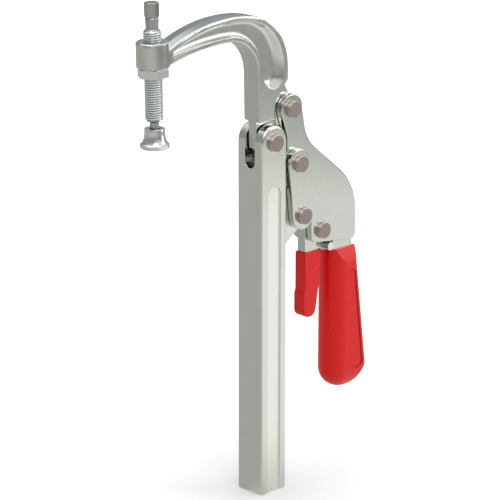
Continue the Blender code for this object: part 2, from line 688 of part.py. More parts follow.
def boss_profile():
    """The ring that the spindle screws through. Its bore clears the plain thread."""
    radius, bore = BOSS_DIAMETER / 2, SPINDLE_R + GAP
    return [(bore, BOSS_TOP_RISE), (radius - BOSS_EDGE, BOSS_TOP_RISE),
            (radius, BOSS_TOP_RISE - BOSS_EDGE), (radius, BOSS_BOTTOM + BOSS_EDGE),
            (radius - BOSS_EDGE, BOSS_BOTTOM), (bore, BOSS_BOTTOM), (bore, BOSS_TOP_RISE)]


def hexagon(flats, turn=0.0):
    radius = flats / 2 / cos(pi / 6)
    return [(radius * cos(turn + pi / 3 * i), radius * sin(turn + pi / 3 * i)) for i in range(6)]


def hexagonal(name, flats, low, high, collection=PARTS, turn=0.0):
    """A hexagonal prism along Z; with turn 0 its corners lie on the X axis."""
    ring = hexagon(flats, turn)
    return lofted(name, [[(x, y, z) for x, y in ring] for z in (low, high)], collection)


def jam_nut():
    top = BOSS_BOTTOM - GAP
    bottom = top - NUT_HEIGHT
    radius = NUT_FLATS / 2 / cos(pi / 6)
    nut = hexagonal("jam_nut", NUT_FLATS, bottom, top)
    edge = (radius - NUT_FLATS / 2) * 1.3
    crown = turned("nut_crown", [(0, top + edge), (radius + edge, top + edge),
                                 (radius + edge, bottom + edge), (radius - edge, bottom - edge / 2),
                                 (0, bottom - edge / 2)], 48, TOOLS)
    bore = turned("nut_bore", [(0, top * 1.1), (SPINDLE_R + GAP, top * 1.1),
                               (SPINDLE_R + GAP, bottom * 0.9), (0, bottom * 0.9)], 32, TOOLS)
    combine(nut, "INTERSECT", crown)
    combine(nut, "DIFFERENCE", bore)
    nut.location = crown.location = bore.location = (-SPINDLE_REACH, 0, 0)
    return hang(nut, "arm", ZINC_PLATE, 20)


def spindle():
    """The screw: ball end, M16 thread left plain here, neck, groove, collar and hexagon drive."""
    thread_top = BOSS_TOP_RISE + THREAD_ABOVE
    neck_bottom = thread_top + THREAD_CHAMFER
    neck_top = neck_bottom + SPINDLE_NECK_LENGTH
    neck_r = SPINDLE_NECK_DIAMETER / 2
    collar_r = COLLAR_DIAMETER / 2
    collar_top = neck_top + GROOVE_WIDTH + COLLAR_LENGTH
    ball_neck_r = BALL_NECK_DIAMETER / 2
    profile = [(0, collar_top), (collar_r, collar_top), (collar_r, neck_top + GROOVE_WIDTH),
               (neck_r - GROOVE_DEPTH, neck_top + GROOVE_WIDTH / 2), (neck_r, neck_top),
               (neck_r, neck_bottom), (SPINDLE_R, thread_top), (SPINDLE_R, THREAD_BOTTOM),
               (SPINDLE_R - THREAD_CHAMFER, SPINDLE_END), (ball_neck_r, SPINDLE_END)]
    start = acos(ball_neck_r / BALL_R)
    profile += arc((0, BALL_Z), BALL_R, start, -pi / 2, 10)[:-1] + [(0, BALL_Z - BALL_R)]
    screw = turned("spindle", profile, 32)
    drive = hexagonal("drive", DRIVE_FLATS, collar_top - COLLAR_LENGTH / 2,
                      collar_top + DRIVE_LENGTH, TOOLS, pi / 6)
    bevel(drive, DRIVE_EDGE, 1, 70)
    combine(screw, "UNION", drive)
    return hang(screw, "spindle", ZINC_THREAD)


def swivel_foot():
    """The pressure foot: a flared cup closed over the spindle's ball, about the ball's centre."""
    socket_r = BALL_R + GAP
    rim_r, foot_r = FOOT_RIM_DIAMETER / 2, FOOT_DIAMETER / 2
    bottom = FOOT_RIM_RISE - FOOT_HEIGHT
    profile = [(0, -socket_r)] + arc((0, 0), socket_r, -pi / 2, acos(FOOT_MOUTH_R / socket_r), 10)[1:]
    profile += [(FOOT_MOUTH_R + FOOT_MOUTH_FLARE, FOOT_RIM_RISE),
                (rim_r - FOOT_CHAMFER / 2, FOOT_RIM_RISE),
                (rim_r, FOOT_RIM_RISE - FOOT_CHAMFER / 2)]
    flare_top, flare_bottom = FOOT_RIM_RISE - FOOT_LIP, bottom + FOOT_LIP + FOOT_CHAMFER
    steps = 6
    for i in range(steps + 1):
        share = i / steps
        profile.append((rim_r + (foot_r - rim_r) * (1 - cos(share * pi / 2)),
                        flare_top + (flare_bottom - flare_top) * sin(share * pi / 2)))
    profile += [(foot_r, bottom + FOOT_CHAMFER), (foot_r - FOOT_CHAMFER, bottom), (0, bottom)]
    return hang(turned("swivel_foot", profile, 40), "foot", ZINC_PLATE)


# Pieces of the handle

def lower_edge(x):
    """Height of the plates' slanting lower edge at a given X."""
    front, rear = LEVER_PIVOT[0] - HANDLE_FRONT, PLATE_BACK_X
    share = (x - front) / (rear - front)
    return LEVER_PIVOT[1] - HANDLE_TOE - share * (HANDLE_HEEL - HANDLE_TOE)


def handle_outline():
    """Side view of a handle plate without its tang, anticlockwise from the lower front corner."""
    front_x = LEVER_PIVOT[0] - HANDLE_FRONT
    plate_front = BAR_HALF + PLATE_BAR_GAP
    knee_front = BAR_HALF + LINK_EYE_BAR_GAP
    eye_r = KNEE[0] - knee_front
    hidden_x = LUG_PIVOT[0] + LUG_EYE_R + HIDDEN_EDGE_GAP
    return rounded([
        (front_x, lower_edge(front_x), TOE_R),
        (PLATE_BACK_X, lower_edge(PLATE_BACK_X), HEEL_R),
        (PLATE_BACK_X, LEVER_PIVOT[1] + HANDLE_HIP, HANDLE_HIP_R),
        (HANDLE_PIVOT[0] + HANDLE_WAIST_OUT, HANDLE_PIVOT[1] - HANDLE_WAIST_DROP, HANDLE_WAIST_R),
        *[(x, z, 0) for x, z in arc(HANDLE_PIVOT, HANDLE_EYE_R, radians(-8.5), radians(196), 18)],
        (plate_front, HANDLE_PIVOT[1] - HANDLE_EYE_R * 1.75, BROW_R),
        (plate_front, KNEE[1] + eye_r, 0),
        (knee_front, KNEE[1] + eye_r * 0.4, KNEE_TOP_R),
        (knee_front, KNEE[1] - eye_r, eye_r * 0.9),
        (KNEE[0] + eye_r * 0.8, KNEE[1] - eye_r, KNEE_FOOT_R),
        (hidden_x, LUG_PIVOT[1] + LUG_EYE_R, CHIN_R),
    ])


def tang_outline():
    """The thinner lower end of a handle plate: a short neck, then the tang inside the grip."""
    top, neck_end, tang_end = LEVER_PIVOT[1], GRIP_TOP_Z + GAP, GRIP_TOP_Z - TANG_LENGTH
    return rounded([
        (NECK_FRONT_X, top, 0),
        (NECK_FRONT_X, neck_end, 0),
        (TANG_FRONT_X, neck_end, 0),
        (TANG_FRONT_X, tang_end, TANG_CORNER_R),
        (TANG_REAR_X, tang_end, TANG_CORNER_R),
        (TANG_REAR_X, top, 0),
    ])


def handle_plate(name, side):
    low, high = sorted((side * PLATE_INNER, side * PLATE_OUTER))
    plate = bevel(outline_solid(name, handle_outline(), low, high), PLATE_EDGE)
    low, high = sorted((side * NECK_INNER, side * NECK_OUTER))
    combine(plate, "UNION", outline_solid(name + "_tang", tang_outline(), low, high, TOOLS))
    reach = LINK_OUTER
    combine(plate, "DIFFERENCE",
            *[cylinder(f"{name}_hole_{i}", centre, HOLE_R, -reach, reach)
              for i, centre in enumerate((HANDLE_PIVOT, KNEE, LEVER_PIVOT))])
    return hang(plate, "handle", ZINC_PLATE)


def grip_ring(z, front, rear, half, corner):
    """A level of the grip: round front, flat sides, small rear corners."""
    points = arc((front + half, 0), half, 1.5 * pi, 0.5 * pi, 14)
    corner = min(corner, half)
    points += arc((rear - corner, half - corner), corner, 0.5 * pi, 0, 4)
    points += arc((rear - corner, corner - half), corner, 0, -0.5 * pi, 4)
    return [(x, y, z) for x, y in points]


def grip_body():
    """The moulded grip: front edge straight, rear edge leaning out, lower end fully rounded."""
    half = GRIP_THICKNESS / 2
    straight = GRIP_LENGTH - GRIP_END_R
    rings = []
    steps = 6
    for i in range(steps + 1):
        share = i / steps
        depth = GRIP_TOP_DEPTH + (GRIP_END_DEPTH - GRIP_TOP_DEPTH) * share
        rings.append(grip_ring(GRIP_TOP_Z - straight * share, GRIP_FRONT_X, GRIP_FRONT_X + depth,
                               half, GRIP_REAR_R))
    steps = 7
    for i in range(1, steps + 1):
        turn = pi / 2 * i / steps
        inset = GRIP_END_R * (1 - cos(turn))
        thin = half * (1 - 0.8 * (1 - cos(turn)))
        rings.append(grip_ring(GRIP_TOP_Z - straight - GRIP_END_R * sin(turn),
                               GRIP_FRONT_X + inset * 0.9, GRIP_FRONT_X + GRIP_END_DEPTH - inset,
                               thin, GRIP_REAR_R + (thin - GRIP_REAR_R) * sin(turn) * 0.8))
    return lofted("grip", rings)


def grip():
    body = grip_body()
    half = GRIP_THICKNESS / 2
    for side in (-1, 1):
        facet = [(side * FACET_TOP_HALF, GRIP_TOP_Z), (side * half, GRIP_TOP_Z - FACET_LENGTH),
                 (side * (2 * half - FACET_TOP_HALF), GRIP_TOP_Z - 2 * FACET_LENGTH),
                 (side * 2 * half, GRIP_TOP_Z - 2 * FACET_LENGTH),
                 (side * 2 * half, GRIP_TOP_Z + FACET_LENGTH),
                 (side * (2 * FACET_TOP_HALF - half), GRIP_TOP_Z + FACET_LENGTH)]
        cut = outline_solid(f"grip_facet_{side}", facet, GRIP_FRONT_X - half,
                            GRIP_FRONT_X + 2 * GRIP_END_DEPTH, TOOLS, across="X")
        low, high = sorted((side * (NECK_INNER - GAP), side * (NECK_OUTER + GAP)))
        tang = box(f"tang_slot_{side}",
                   (TANG_FRONT_X - GAP, low, GRIP_TOP_Z - TANG_LENGTH - GAP),
                   (TANG_REAR_X + GAP, high, GRIP_TOP_Z + FACET_LENGTH))
        low, high = sorted((side * (half - PANEL_DEPTH), side * (half + PANEL_DEPTH)))
        top, bottom = GRIP_TOP_Z - PANEL_TOP, GRIP_TOP_Z - GRIP_LENGTH + PANEL_BOTTOM
        shift = (GRIP_END_DEPTH - GRIP_TOP_DEPTH) / GRIP_LENGTH
        rear_top = GRIP_FRONT_X + GRIP_TOP_DEPTH + shift * PANEL_TOP - PANEL_REAR_INSET
        rear_low = GRIP_FRONT_X + GRIP_END_DEPTH - shift * PANEL_BOTTOM - PANEL_REAR_INSET
        radius = PANEL_WIDTH / 2
        panel_side = hull([(rear_low, bottom + radius, radius), (rear_top, top - radius, radius)], 10)
        panel = outline_solid(f"grip_panel_{side}", panel_side, low, high, TOOLS)
        combine(body, "DIFFERENCE", cut, tang, panel)
    return hang(body, "handle", RED, 40)


# Toggle links

def link_plate(name, side):
    outline = hull([(*LUG_PIVOT, LINK_HALF_WIDTH), (*KNEE, LINK_HALF_WIDTH)], 18)
    low, high = sorted((side * LINK_INNER, side * LINK_OUTER))
    plate = bevel(outline_solid(name, outline, low, high), LINK_EDGE, 2)
    reach = LINK_OUTER * 2
    combine(plate, "DIFFERENCE", cylinder(name + "_lower_hole", LUG_PIVOT, HOLE_R, -reach, reach),
            cylinder(name + "_upper_hole", KNEE, HOLE_R, -reach, reach))
    return hang(plate, "links", ZINC_PLATE)


# Release lever

def lever_outline():
    px, pz = LEVER_PIVOT
    shoulder = pz - LEVER_SHOULDER_DROP
    end = pz - LEVER_LENGTH
    front, rear = px - LEVER_FRONT, px + LEVER_REAR
    rear_shoulder = shoulder + LEVER_EDGE
    head = arc(LEVER_PIVOT, LEVER_HEAD_R, radians(-35), radians(120), 12)
    return rounded([(x, z, 0) for x, z in head] + [
        (front, pz + LEVER_HEAD_R * 0.75, LEVER_BLADE_INSET),
        (front, shoulder, 0),
        (front + LEVER_BLADE_INSET, shoulder, 0),
        (front + LEVER_BLADE_INSET, end, LEVER_BLADE_INSET),
        (rear - LEVER_BLADE_INSET * 3, end, LEVER_BLADE_INSET),
        (rear - LEVER_BLADE_INSET, rear_shoulder, 0),
        (rear, rear_shoulder, 0),
        (rear, pz - LEVER_HEAD_R, 0),
    ])


def release_lever():
    half = LEVER_THICKNESS / 2
    lever = bevel(outline_solid("release_lever", lever_outline(), -half, half), LEVER_EDGE)
    stop_r = STOP_PIN_DIAMETER / 2
    ear_side = hull([(LEVER_PIVOT[0], LEVER_PIVOT[1] - LEVER_HEAD_R / 3, LEVER_HEAD_R * 0.6),
                     (*STOP_PIN, stop_r + STOP_EAR_WALL)], 12)
    inner = half - LEVER_EDGE * 2
    ear = outline_solid("stop_ear", ear_side, -inner, inner, TOOLS)
    combine(lever, "UNION", ear)
    combine(lever, "DIFFERENCE", cylinder("lever_hole", LEVER_PIVOT, HOLE_R, -half * 2, half * 2),
            cylinder("stop_hole", STOP_PIN, stop_r + GAP, -half * 2, half * 2))
    return hang(lever, "lever", ZINC_PLATE)


def lever_sleeve():
    px, pz = LEVER_PIVOT
    half = SLEEVE_THICKNESS / 2
    top = pz - LEVER_SHOULDER_DROP - GAP
    front, rear = px - SLEEVE_FRONT, px + SLEEVE_REAR
    end = pz - SLEEVE_DROP
    outline = rounded([
        (front, top, 0),
        (front, end + SLEEVE_DROP * 0.32, SLEEVE_BUMP_R),
        (front - SLEEVE_BUMP, end + SLEEVE_DROP * 0.27, SLEEVE_BUMP_R),
        (front - SLEEVE_BUMP, end, SLEEVE_TIP_R),
        (rear - SLEEVE_TIP_INSET, end, SLEEVE_TIP_R),
        (rear - SLEEVE_WAIST_INSET, end + SLEEVE_DROP * 0.36, SLEEVE_BACK_R),
        (rear, top, 0),
    ])
    sleeve = bevel(outline_solid("lever_sleeve", outline, -half, half), SLEEVE_EDGE)
    inner_half = LEVER_THICKNESS / 2 + GAP
    lever_front, lever_rear = px - LEVER_FRONT, px + LEVER_REAR
    lever_end = pz - LEVER_LENGTH - GAP
    pocket_side = [(lever_front + LEVER_BLADE_INSET - GAP, top + half),
                   (lever_front + LEVER_BLADE_INSET - GAP, lever_end),
                   (lever_rear - LEVER_BLADE_INSET * 3 + GAP, lever_end),
                   (lever_rear - LEVER_BLADE_INSET + GAP, top - GAP),
                   (lever_rear - LEVER_BLADE_INSET + GAP, top + half)]
    pocket = outline_solid("sleeve_pocket", pocket_side, -inner_half, inner_half, TOOLS)
    combine(sleeve, "DIFFERENCE", pocket)
    return hang(sleeve, "lever", RED)


def build():
    base_bar()
    pin("arm_pivot_pin", (0, 0), PIN_R, BAR_HALF + PIN_PROUD, "base")
    pin("link_lower_pin", LUG_PIVOT, PIN_R, LINK_OUTER + PIN_PROUD, "base")
    bush("link_lower_bush", LUG_PIVOT, PLATE_OUTER, "base")

    arm()
    bush("arm_pivot_bush", (0, 0), BLADE_THICKNESS / 2, "arm")
    bush("handle_pivot_bush", ARM_LUG, BLADE_THICKNESS / 2, "arm")
    jam_nut()
    spindle()
    swivel_foot()

    for name, side in (("handle_plate_left", -1), ("handle_plate_right", 1)):
        handle_plate(name, side)
    pin("handle_pivot_pin", HANDLE_PIVOT, PIN_R, PLATE_OUTER + PIN_PROUD, "handle")
    pin("link_upper_pin", KNEE, PIN_R, PLATE_OUTER + GAP / 3, "handle")
    bush("knee_spacer", KNEE, PLATE_INNER - GAP, "handle")
    pin("lever_pivot_pin", LEVER_PIVOT, PIN_R, PLATE_OUTER + PIN_PROUD, "handle")
    grip()

    for name, side in (("left", -1), ("right", 1)):
        link_plate("link_plate_" + name, side)
        ends = sorted((side * LINK_INNER, side * (LINK_OUTER + PIN_PROUD)))
        pin("link_upper_pin_end_" + name, KNEE, PIN_R, ends[1], "links", ends[0])

    release_lever()
    lever_sleeve()
    pin("stop_pin", STOP_PIN, STOP_PIN_DIAMETER / 2, PLATE_OUTER + STOP_PIN_PROUD, "lever")


build()
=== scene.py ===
"""Looks for the hold-down toggle clamp: finishes, the cut thread, floor, light and camera."""

from math import acos, cos, pi, radians, sin

import bmesh
import bpy
from mathutils import Matrix, Vector


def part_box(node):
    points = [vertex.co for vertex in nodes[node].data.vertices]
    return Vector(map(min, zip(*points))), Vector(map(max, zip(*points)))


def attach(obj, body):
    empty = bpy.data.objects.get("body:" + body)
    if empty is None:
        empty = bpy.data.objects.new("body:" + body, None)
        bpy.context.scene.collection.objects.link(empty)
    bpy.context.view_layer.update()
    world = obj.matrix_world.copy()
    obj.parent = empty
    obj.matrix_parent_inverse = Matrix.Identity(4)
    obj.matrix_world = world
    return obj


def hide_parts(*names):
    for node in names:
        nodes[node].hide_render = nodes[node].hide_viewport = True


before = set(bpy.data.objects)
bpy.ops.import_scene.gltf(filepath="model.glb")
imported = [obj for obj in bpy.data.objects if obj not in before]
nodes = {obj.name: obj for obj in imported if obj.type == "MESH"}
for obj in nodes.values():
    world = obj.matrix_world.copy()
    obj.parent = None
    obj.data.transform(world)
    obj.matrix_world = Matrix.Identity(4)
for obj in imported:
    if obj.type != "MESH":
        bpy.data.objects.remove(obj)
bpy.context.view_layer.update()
MM = 0.001
ARM_PIVOT_Z = 328 * MM


# Node helpers

def new_material(name):
    made = bpy.data.materials.new(name)
    made.use_nodes = True
    tree = made.node_tree
    return made, tree, tree.nodes["Principled BSDF"]


def add(tree, kind, inputs=None, **settings):
    node = tree.nodes.new(kind)
    for key, value in settings.items():
        setattr(node, key, value)
    for key, value in (inputs or {}).items():
        node.inputs[key].default_value = value
    return node


def coordinates(tree, scale=(1, 1, 1)):
    """Object coordinates in metres, stretched by scale."""
    where = add(tree, "ShaderNodeTexCoord")
    stretch = add(tree, "ShaderNodeMapping", {"Scale": scale})
    tree.links.new(where.outputs["Object"], stretch.inputs["Vector"])
    return stretch.outputs["Vector"]


def noise(tree, scale, detail=3.0, roughness=0.55, stretch=(1, 1, 1)):
    made = add(tree, "ShaderNodeTexNoise", {"Scale": scale, "Detail": detail, "Roughness": roughness})
    tree.links.new(coordinates(tree, stretch), made.inputs["Vector"])
    return made.outputs["Fac"]


def remap(tree, value, low, high, from_low=0.3, from_high=0.7):
    made = add(tree, "ShaderNodeMapRange", {"From Min": from_low, "From Max": from_high,
                                            "To Min": low, "To Max": high})
    tree.links.new(value, made.inputs["Value"])
    return made.outputs["Result"]


def mix_colours(tree, share, first, second):
    made = add(tree, "ShaderNodeMix", data_type="RGBA")
    for value, socket in ((share, "Factor"), (first, "A"), (second, "B")):
        if isinstance(value, tuple):
            made.inputs[socket].default_value = (*value, 1)
        else:
            tree.links.new(value, made.inputs[socket])
    return made.outputs["Result"]


def rounded_normal(tree, radius):
    """Softens sharp edges by a small radius in the shading."""
    return add(tree, "ShaderNodeBevel", {"Radius": radius}, samples=6).outputs["Normal"]


def bump(tree, height, strength, distance, normal=None):
    made = add(tree, "ShaderNodeBump", {"Strength": strength, "Distance": distance})
    tree.links.new(height, made.inputs["Height"])
    if normal is not None:
        tree.links.new(normal, made.inputs["Normal"])
    return made.outputs["Normal"]


def which_rays(tree, *kinds):
    """1 for rays of the kinds named, 0 for the others."""
    path = add(tree, "ShaderNodeLightPath")
    total = path.outputs[kinds[0]]
    for kind in kinds[1:]:
        either = add(tree, "ShaderNodeMath", operation="MAXIMUM")
        tree.links.new(total, either.inputs[0])
        tree.links.new(path.outputs[kind], either.inputs[1])
        total = either.outputs[0]
    return total


# Finishes, with painted light and shade

# A pale tone for a painted highlight along the edges
EDGE_HIGHLIGHT_TONE = (0.86, 0.87, 0.84)


def side_facing(tree):
    """1 on faces that look along Y, 0 on those square to it."""
    split = add(tree, "ShaderNodeSeparateXYZ")
    facing = add(tree, "ShaderNodeMath", operation="ABSOLUTE")
    tree.links.new(add(tree, "ShaderNodeNewGeometry").outputs["True Normal"], split.inputs["Vector"])
    tree.links.new(split.outputs["Y"], facing.inputs[0])
    return facing.outputs[0]


def repaint(made, share, tone):
    """Lays another tone over a finish by a share from 0 to 1."""
    colour = made.node_tree.nodes["Principled BSDF"].inputs["Base Color"]
    before = colour.links[0].from_socket
    made.node_tree.links.new(mix_colours(made.node_tree, share, before, tone), colour)


def edge_highlight_share(tree, softened):
    """1 on the edges, where the softened normal leaves the true one: where the painted highlight goes.
    """
    true = add(tree, "ShaderNodeNewGeometry").outputs["True Normal"]
    along = add(tree, "ShaderNodeVectorMath", operation="DOT_PRODUCT")
    tree.links.new(true, along.inputs[0])
    tree.links.new(softened, along.inputs[1])
    return remap(tree, along.outputs["Value"], 0.8, 0, 0.80, 0.96)


def plated_metal(name, light, dark, rough, grain, edge, grain_stretch=(1, 1, 1)):
    """Plated steel: two close tones, uneven gloss, fine grain, softened edges and a painted highlight
    along them.
    """
    made, tree, shader = new_material(name)
    link = tree.links.new
    shader.inputs["Metallic"].default_value = 1.0
    tone = remap(tree, noise(tree, 55, 4), 0, 1)
    plain = mix_colours(tree, tone, light, dark)
    softened = rounded_normal(tree, edge)
    # Painted highlight: the edges drawn in a paler tone
    with_edge_highlight = mix_colours(tree, edge_highlight_share(tree, softened), plain, EDGE_HIGHLIGHT_TONE)
    link(with_edge_highlight, shader.inputs["Base Color"])
    patches = remap(tree, noise(tree, 140, 3), rough[0], rough[1])
    link(patches, shader.inputs["Roughness"])
    fine = noise(tree, 2600, 2, stretch=grain_stretch)
    link(bump(tree, fine, grain, 0.00004, softened), shader.inputs["Normal"])
    return made


def axis_distance(tree, axis, middle=0.0):
    """Distance from a middle value along one axis of the object."""
    split = add(tree, "ShaderNodeSeparateXYZ")
    tree.links.new(coordinates(tree), split.inputs["Vector"])
    offset = add(tree, "ShaderNodeMath", {1: middle}, operation="SUBTRACT")
    far = add(tree, "ShaderNodeMath", operation="ABSOLUTE")
    tree.links.new(split.outputs[axis], offset.inputs[0])
    tree.links.new(offset.outputs[0], far.inputs[0])
    return far.outputs[0]


def within(tree, *limits):
    """1 where every (axis, middle, half) limit holds, 0 elsewhere."""
    total = 1.0
    for axis, middle, half in limits:
        share = remap(tree, axis_distance(tree, axis, middle), 1, 0, half - 0.1 * MM, half + 0.1 * MM)
        both = add(tree, "ShaderNodeMath", operation="MULTIPLY")
        tree.links.new(share, both.inputs[0])
        if isinstance(total, float):
            both.inputs[1].default_value = total
        else:
            tree.links.new(total, both.inputs[1])
        total = both.outputs[0]
    return total


def painted_light_tone(made, light, *limits):
    """Paints a lighter tone over the stretch within the limits: painted light."""
    repaint(made, within(made.node_tree, *limits), light)


def painted_groove_shade(made, radius, dark):
    """Darkens what lies nearer to the object's Z axis than the radius: painted shade in the thread's
    roots.
    """
    tree = made.node_tree
    out = add(tree, "ShaderNodeVectorMath", operation="LENGTH")
    tree.links.new(coordinates(tree, (1, 1, 0)), out.inputs[0])
    blur = 0.25 * MM
    repaint(made, remap(tree, out.outputs["Value"], 1, 0, radius - blur, radius + blur), dark)


def painted_side_sheen(made, light):
    """Paints a pin's round side paler than its ends: a painted sheen."""
    repaint(made, remap(made.node_tree, side_facing(made.node_tree), 1, 0), light)


def painted_panel_shade(made, dark):
    """Darkens the drafted walls of the grip's panel: painted shade along its border."""
    tree = made.node_tree
    share = add(tree, "ShaderNodeMath", operation="MULTIPLY")
    tree.links.new(remap(tree, side_facing(tree), 1, 0, 0.80, 0.85), share.inputs[0])
    tree.links.new(remap(tree, axis_distance(tree, "Y"), 0, 1, 13.8 * MM, 14.0 * MM), share.inputs[1])
    repaint(made, share.outputs[0], dark)


def concave_fillets(made, radius, *limits):
    """Shades the drafted walls as rounded into the pocket's floor, within the limits."""
    tree = made.node_tree
    normal = tree.nodes["Principled BSDF"].inputs["Normal"]
    wall = add(tree, "ShaderNodeMath", {1: 0.3}, operation="GREATER_THAN")
    share = add(tree, "ShaderNodeMath", operation="MULTIPLY")
    tree.links.new(side_facing(tree), wall.inputs[0])
    tree.links.new(wall.outputs[0], share.inputs[0])
    tree.links.new(within(tree, *limits), share.inputs[1])
    round_in = add(tree, "ShaderNodeBevel", {"Radius": radius}, samples=12).outputs["Normal"]
    mixed = add(tree, "ShaderNodeMix", data_type="VECTOR")
    before = normal.links[0].from_socket
    tree.links.new(share.outputs[0], mixed.inputs["Factor"])
    tree.links.new(before, mixed.inputs[4])
    tree.links.new(round_in, mixed.inputs[5])
    tree.links.new(mixed.outputs[1], normal)


def parting_line(made, slope):
    """Leans the forging's edges away from the die's parting line, which runs along the middle."""
    tree = made.node_tree
    shader = tree.nodes["Principled BSDF"]
    fall = add(tree, "ShaderNodeMath", {1: -slope}, operation="MULTIPLY")
    tree.links.new(axis_distance(tree, "Y"), fall.inputs[0])
    before = shader.inputs["Normal"].links[0].from_socket
    tree.links.new(bump(tree, fall.outputs[0], 1.0, 1.0, before), shader.inputs["Normal"])


def moulded_plastic(name, light, dark, rough):
    made, tree, shader = new_material(name)
    link = tree.links.new
    tone = remap(tree, noise(tree, 40, 3), 0, 1)
    link(mix_colours(tree, tone, light, dark), shader.inputs["Base Color"])
    link(remap(tree, noise(tree, 220, 3), rough[0], rough[1]), shader.inputs["Roughness"])
    grain = noise(tree, 300, 1)
    link(bump(tree, grain, 0.01, 0.00002), shader.inputs["Normal"])
    shader.inputs["IOR"].default_value = 1.45
    shader.inputs["Specular IOR Level"].default_value = 0.35
    return made


ZINC = plated_metal("zinc_plated_steel", (0.575, 0.595, 0.555), (0.55, 0.572, 0.535), (0.10, 0.13),
                    0.03, 0.0005)
BAR_ZINC = plated_metal("zinc_plated_bar", (0.67, 0.68, 0.635), (0.645, 0.658, 0.615), (0.12, 0.15),
                        0.05, 0.0012, (1, 1, 0.05))
# Painted light: the middle of the bar, within 8.4 mm in X and 14.4 mm in Y, the recesses and the slot
# among it, drawn lighter
painted_light_tone(BAR_ZINC, (0.76, 0.775, 0.73), ("X", 0, 8.4 * MM), ("Y", 0, 14.4 * MM))
CAST_ZINC = plated_metal("zinc_plated_forging", (0.60, 0.615, 0.58), (0.57, 0.588, 0.555), (0.11, 0.15),
                         0.04, 0.0005)
parting_line(CAST_ZINC, 0.09)
POCKET_MIDDLE = (nodes["arm"].matrix_world.inverted() @ Vector((0, 0, ARM_PIVOT_Z + 84 * MM))).z
concave_fillets(CAST_ZINC, 4.4 * MM, ("Y", 0, 9.6 * MM), ("Z", POCKET_MIDDLE, 34 * MM))
TURNED_ZINC = plated_metal("zinc_plated_turning", (0.70, 0.71, 0.68), (0.67, 0.68, 0.65), (0.15, 0.19),
                           0.02, 0.0004)
THREAD_ZINC = plated_metal("zinc_plated_spindle", (0.68, 0.695, 0.67), (0.65, 0.665, 0.64), (0.18, 0.22),
                           0.02, 0.0002)
# Painted light: the threaded length drawn in a paler, bluish tone
painted_light_tone(THREAD_ZINC, (0.86, 0.92, 0.92), ("Z", 81 * MM, 39.6 * MM))
# Painted shade: the thread's roots drawn darker
painted_groove_shade(THREAD_ZINC, 7.2 * MM, (0.40, 0.415, 0.40))
COPPERY = plated_metal("coppery_pin_steel", (0.31, 0.255, 0.235), (0.285, 0.235, 0.215), (0.40, 0.46),
                       0.04, 0.0002)
# Painted sheen: the pins' round sides drawn paler than their ends
painted_side_sheen(COPPERY, (0.66, 0.54, 0.48))
HARDENED = plated_metal("hardened_bush", (0.34, 0.33, 0.32), (0.27, 0.26, 0.25), (0.28, 0.36),
                        0.05, 0.0004)
RED = moulded_plastic("red_plastic", (0.71, 0.006, 0.005), (0.69, 0.005, 0.004), (0.27, 0.31))
# Painted shade: the walls of the grip's panels drawn dark red
painted_panel_shade(RED, (0.30, 0.003, 0.003))

FINISHES = {
    ZINC: ("handle_plate_left", "handle_plate_right", "link_plate_left", "link_plate_right",
           "release_lever"),
    TURNED_ZINC: ("jam_nut", "swivel_foot", "stop_pin"),
    BAR_ZINC: ("base_bar",),
    CAST_ZINC: ("arm",),
    THREAD_ZINC: ("spindle",),
    COPPERY: ("arm_pivot_pin", "link_lower_pin", "handle_pivot_pin", "link_upper_pin",
              "link_upper_pin_end_left", "link_upper_pin_end_right", "lever_pivot_pin"),
    HARDENED: ("arm_pivot_bush", "handle_pivot_bush", "link_lower_bush", "knee_spacer"),
    RED: ("grip", "lever_sleeve"),
}


SMOOTH_BELOW = {"grip": 14.5, "arm": 20, "lever_sleeve": 25, "swivel_foot": 48}


def dress(obj, finish, smooth_angle):
    """Gives a solid its finish, and smooth shading between its shallow edges."""
    obj.data.materials.clear()
    obj.data.materials.append(finish)
    if "custom_normal" in obj.data.attributes:
        obj.data.attributes.remove(obj.data.attributes["custom_normal"])
    obj.data.shade_smooth()
    weld = obj.modifiers.new("weld", "WELD")
    weld.merge_threshold = 0.000002
    split = obj.modifiers.new("split", "EDGE_SPLIT")
    split.split_angle = radians(smooth_angle)
    even = obj.modifiers.new("even", "WEIGHTED_NORMAL")
    even.keep_sharp = True


for finish, names in FINISHES.items():
    for name in names:
        dress(nodes[name], finish, SMOOTH_BELOW.get(name, 30))


# The spindle with its cut thread, in place of the plain one

ARM_DROOP = radians(-1)
SPINDLE_REACH = 126.5 * MM
BOSS_TOP, BOSS_BOTTOM = 110 * MM, 87.6 * MM
THREAD_R = 8 * MM
THREAD_OVER_BOSS, THREAD_UNDER_BOSS = 8.2 * MM, 43.9 * MM
THREAD_CHAMFER = 2.3 * MM
BALL_R, BALL_NECK_R = 5.5 * MM, 4 * MM
BALL_DROP = 10.9 * MM
NECK_RISE, DRIVE_RISE = 9.6 * MM, 22.8 * MM
NECK_LOW_R, NECK_HIGH_R = 5.2 * MM, 5.8 * MM
NECK_EDGE_R, GROOVE_R = 5.5 * MM, 5.0 * MM
GROOVE_RISE = 0.9 * MM
DRIVE_FLATS = 11 * MM
DRIVE_EDGE = 0.5 * MM
PITCH = 2 * MM
THREAD_DEPTH = 1.0 * MM
DRIVE_TURN = radians(-14.3)
THREAD_SEGMENTS = 36
TURN_STEPS = 40


def turned(bm, profile, steps=TURN_STEPS):
    """Adds a closed turned body for a profile of (radius, height) points."""
    rings = []
    for radius, height in profile:
        if radius < 1e-9:
            rings.append([bm.verts.new((0, 0, height))])
        else:
            rings.append([bm.verts.new((radius * cos(2 * pi * i / steps),
                                        radius * sin(2 * pi * i / steps), height))
                          for i in range(steps)])
    for low, high in zip(rings, rings[1:]):
        for i in range(steps):
            j = (i + 1) % steps
            corners = [low[i % len(low)], low[j % len(low)], high[j % len(high)], high[i % len(high)]]
            corners = list(dict.fromkeys(corners))
            if len(corners) > 2:
                bm.faces.new(corners)


